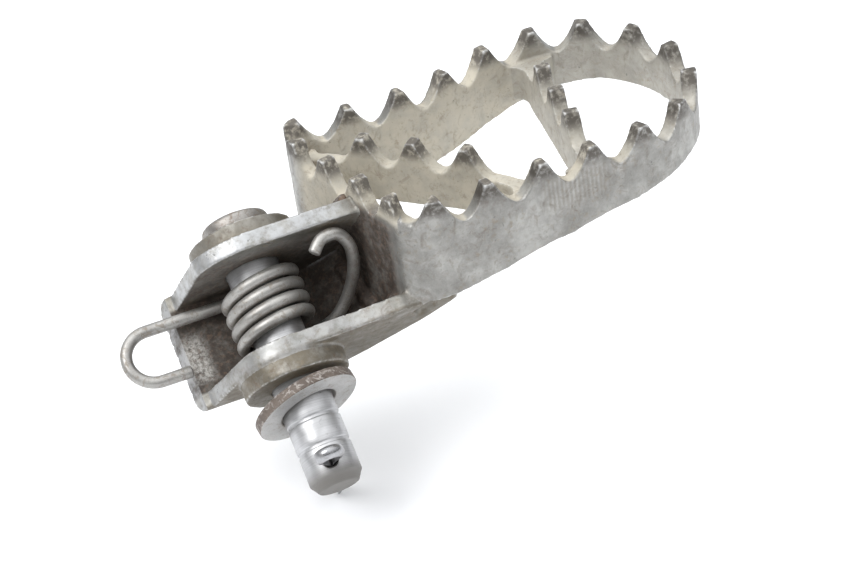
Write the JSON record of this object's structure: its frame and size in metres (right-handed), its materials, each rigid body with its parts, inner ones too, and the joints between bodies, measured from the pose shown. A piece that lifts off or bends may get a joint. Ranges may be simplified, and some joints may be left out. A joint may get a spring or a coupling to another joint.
{
  "type": "foot peg",
  "caption": "Folding rider foot peg with an open toothed tread, a channel bracket, a hinge pin with return spring, a washer and a cotter pin.",
  "frame": {"origin": "on the hinge pin's axis, midway between the bracket's two ears", "axes": "+X outward along the tread, +Z the way the teeth point, +Y towards the side of the pin's head; the pin's axis is tilted 40 degrees from +Y towards +Z"},
  "size_m": [0.1435, 0.0788, 0.0699],
  "materials": {
    "tread_steel": "weathered bare cast steel, worn tooth tips, tan dirt",
    "bracket_steel": "weathered bare steel plate, dirty inside",
    "weld_steel": "rusty brown weld bead",
    "pin_steel": "satin, worn bright by the bracket",
    "spring_steel": "satin wire with brown dirt",
    "washer_zinc": "dull zinc, rusty edge",
    "cotter_zinc": "bright zinc"
  },
  "bodies": {
    "hinge_pin": {"pivot_pin": "pin_steel", "return_spring": "spring_steel"},
    "foot_peg": {"tread_rim": "tread_steel", "end_wall": "tread_steel", "diagonal_brace": "tread_steel", "outer_crossbar": "tread_steel", "pivot_bracket": "bracket_steel", "far_boss": "bracket_steel", "near_boss": "bracket_steel", "weld_far_ear": "weld_steel", "weld_near_ear": "weld_steel", "weld_web": "weld_steel"},
    "loose_washer": {"washer": "washer_zinc"},
    "split_pin": {"cotter_pin": "cotter_zinc"}
  },
  "joints": [
    {"name": "peg_fold", "type": "hinge", "parent": "hinge_pin", "child": "foot_peg", "pos_m": [0, 0, 0], "axis": [0, -0.766, -0.6428], "range_deg": [0, 60], "stiffness_Nm_per_rad": 0.4, "springref_deg": -45.84, "deforming": ["return_spring"]},
    {"name": "washer_slide", "type": "slide", "parent": "hinge_pin", "child": "loose_washer", "axis": [0, -0.766, -0.6428], "range_m": [-0.0008, 0.0085]},
    {"name": "cotter_pull", "type": "slide", "parent": "hinge_pin", "child": "split_pin", "axis": [-0.1564, -0.6349, 0.7566], "range_m": [0, 0.045]}
  ]
}
